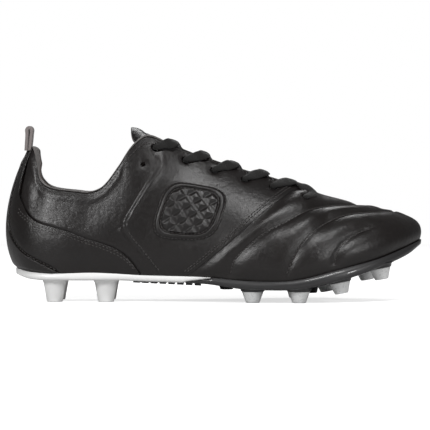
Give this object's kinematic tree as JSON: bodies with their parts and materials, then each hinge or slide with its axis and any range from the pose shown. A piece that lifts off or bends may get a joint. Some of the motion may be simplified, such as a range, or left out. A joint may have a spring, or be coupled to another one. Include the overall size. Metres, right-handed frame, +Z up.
{
  "type": "soccer cleat",
  "caption": "Lace-up leather soccer cleat for the right foot, with padded vamp, padded side patch, low collar and moulded studs.",
  "frame": {"origin": "bottom centre of the boot's box, on the ground the studs stand on", "axes": "+X from heel to toe, +Y to the inner (medial) side of a right foot, +Z up"},
  "size_m": [0.286, 0.0938, 0.1197],
  "materials": {
    "leather": "smooth black full-grain leather with a soft sheen",
    "plate_black": "black moulded polyurethane, semi-gloss",
    "plate_white": "white moulded polyurethane, gloss",
    "board": "pressed fibre board",
    "sock_fabric": "knitted cover on a foam sockliner",
    "foam": "soft open-cell foam",
    "lining_fabric": "brushed textile lining",
    "stiffener": "thermoplastic stiffener sheet",
    "binding_fabric": "folded textile binding",
    "webbing": "woven webbing",
    "lace_cord": "flat braided polyester lace",
    "aglet": "clear-coated black tip"
  },
  "bodies": {
    "boot": {"forefoot_plate": "plate_black", "heel_plate": "plate_white", "forefoot_stud_tips": "plate_white", "arch_bridge": "plate_black", "insole_board": "board", "vamp": "leather", "vamp_padding": "foam", "vamp_lining": "lining_fabric", "toe_puff": "stiffener", "quarter_lateral": "leather", "quarter_medial": "leather", "heel_overlay_lateral": "leather", "heel_overlay_medial": "leather", "heel_strip": "leather", "heel_counter": "stiffener", "collar_padding": "foam", "quarter_lining": "lining_fabric", "collar_binding": "binding_fabric", "eyestay_lateral": "leather", "eyestay_medial": "leather", "lace": "lace_cord", "lace_tips": "aglet", "badge_lateral": "leather", "badge_medial": "leather"},
    "tongue": {"tongue_cover": "leather", "tongue_padding": "foam", "tongue_lining": "lining_fabric"},
    "heel_tab": {"pull_tab": "webbing"},
    "footbed": {"sockliner": "sock_fabric"}
  },
  "joints": [
    {"name": "tongue_tilt", "type": "hinge", "parent": "boot", "child": "tongue", "pos_m": [0.07, 0, 0.064], "axis": [0, -1, 0], "range_deg": [0, 8]},
    {"name": "tab_fold", "type": "hinge", "parent": "boot", "child": "heel_tab", "pos_m": [-0.1306, 0, 0.104], "axis": [0, 1, 0], "range_deg": [-70, 4]},
    {"name": "footbed_lift", "type": "hinge", "parent": "boot", "child": "footbed", "pos_m": [0.1365, 0, 0.0405], "axis": [0, 1, 0], "range_deg": [0, 6]}
  ]
}
